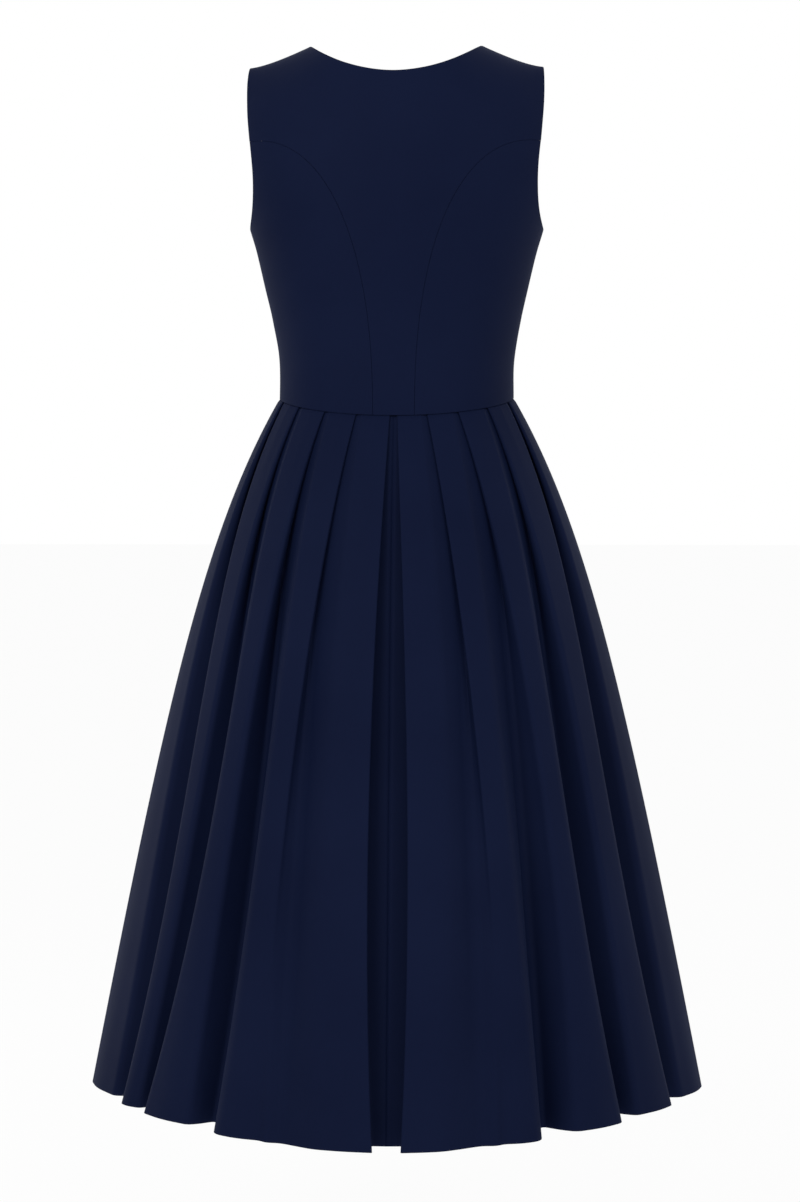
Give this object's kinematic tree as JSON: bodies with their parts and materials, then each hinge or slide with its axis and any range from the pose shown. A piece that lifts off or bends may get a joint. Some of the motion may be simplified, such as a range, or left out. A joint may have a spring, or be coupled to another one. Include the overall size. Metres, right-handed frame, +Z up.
{
  "type": "dirndl dress",
  "caption": "Sleeveless navy dirndl dress, hollow as worn: a fitted bodice with curved back seams and a full, knife-pleated skirt with a centre inverted pleat.",
  "frame": {"origin": "midway between the two shoulder seams, at the height where the dress hangs on its wearer's shoulders", "axes": "+Z up, the front of the dress faces +Y and its back faces -Y, +X is the wearer's right"},
  "size_m": [0.7032, 0.6731, 1.185],
  "materials": {
    "bodice_cloth": "smooth navy cotton sateen, matt with a soft sheen",
    "skirt_cloth": "smooth navy cotton sateen, matt with a soft sheen"
  },
  "bodies": {
    "root": {"back_centre": "bodice_cloth", "back_side_right": "bodice_cloth", "back_side_left": "bodice_cloth", "front_centre_right": "bodice_cloth", "front_centre_left": "bodice_cloth", "front_side_right": "bodice_cloth", "front_side_left": "bodice_cloth", "skirt_back_right": "skirt_cloth", "skirt_back_left": "skirt_cloth", "skirt_front_right": "skirt_cloth", "skirt_front_left": "skirt_cloth"}
  },
  "joints": []
}
